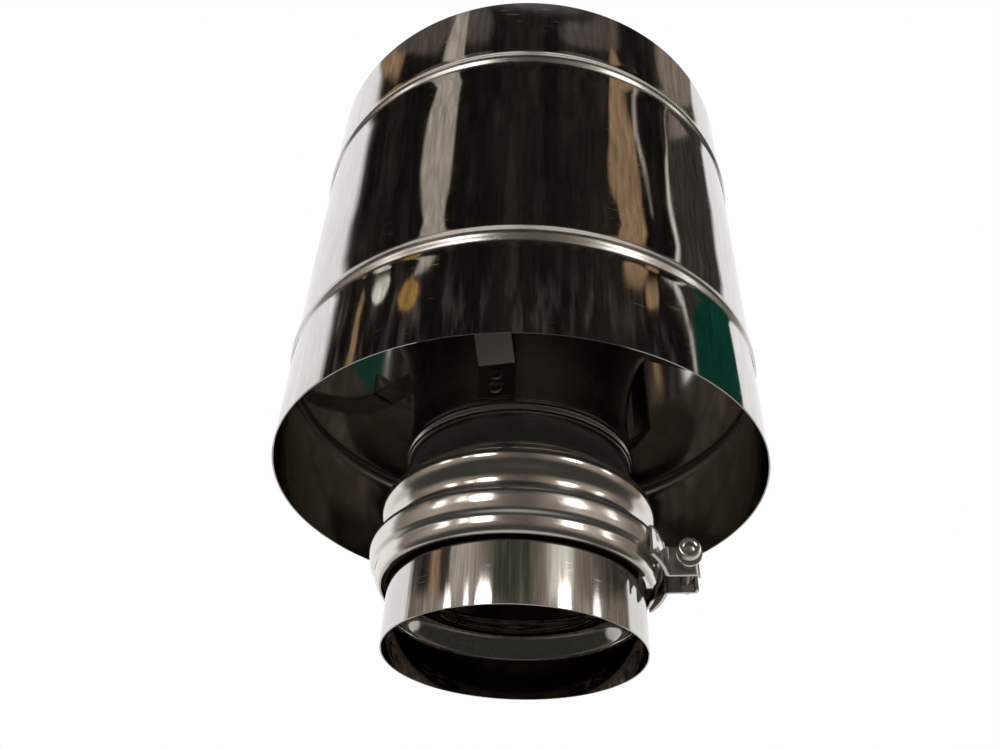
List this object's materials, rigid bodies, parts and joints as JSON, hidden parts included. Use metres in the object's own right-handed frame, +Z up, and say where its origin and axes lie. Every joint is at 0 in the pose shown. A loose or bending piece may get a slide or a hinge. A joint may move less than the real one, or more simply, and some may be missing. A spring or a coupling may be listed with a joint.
{
  "type": "chimney deflector",
  "caption": "Polished steel chimney deflector: open outer shell round a widening flue pipe with a rain cap, on a clamped swivelling connector.",
  "frame": {"origin": "centre of the connector pipe's lower rim, on the flue axis", "axes": "+Z up along the flue axis, +X towards the clamp's closure, -Y the side that the picture shows"},
  "size_m": [0.251, 0.251, 0.332],
  "materials": {
    "polished_steel": "mirror polished",
    "band_steel": "bright rolled",
    "strap_steel": "bright rolled",
    "screw_steel": "satin",
    "rivet_steel": "satin",
    "seal_silicone": "matte"
  },
  "bodies": {
    "deflector": {"inlet_pipe": "polished_steel", "socket_collar": "polished_steel", "seal_ring": "seal_silicone", "diffuser": "polished_steel", "outer_shell": "polished_steel", "rain_cap": "polished_steel", "cap_under_cone": "polished_steel", "foot_rivets": "rivet_steel", "arm_rivets": "rivet_steel", "cap_rivets": "rivet_steel", "leg_front": "strap_steel", "leg_right": "strap_steel", "leg_left": "strap_steel", "shell_arm_front": "strap_steel", "shell_arm_right": "strap_steel", "shell_arm_left": "strap_steel"},
    "connector": {"connector_pipe": "polished_steel"},
    "clamp": {"clamp_band": "band_steel", "clamp_ear_front": "band_steel", "clamp_ear_rear": "band_steel", "clamp_nut": "screw_steel"},
    "screw_washer": {"clamp_washer": "screw_steel"},
    "screw": {"clamp_screw": "screw_steel"}
  },
  "joints": [
    {"name": "connector_swivel", "type": "hinge", "parent": "deflector", "child": "connector", "pos_m": [0, 0, 0.03], "axis": [0, 0, 1], "continuous": true},
    {"name": "clamp_swivel", "type": "hinge", "parent": "deflector", "child": "clamp", "pos_m": [0, 0, 0.04], "axis": [0, 0, 1], "continuous": true},
    {"name": "screw_travel", "type": "slide", "parent": "clamp", "child": "screw_washer", "axis": [-0.1219, -0.9925, 0], "range_m": [-0.0058, 0.004]},
    {"name": "screw_turn", "type": "hinge", "parent": "screw_washer", "child": "screw", "pos_m": [0.07995, -0.00982, 0.0406], "axis": [-0.1219, -0.9925, 0], "range_deg": [-2088, 1440]}
  ],
  "couplings": [
    {"joint": "screw_turn", "follows": "screw_travel", "rad_per_m": 6283.2}
  ]
}
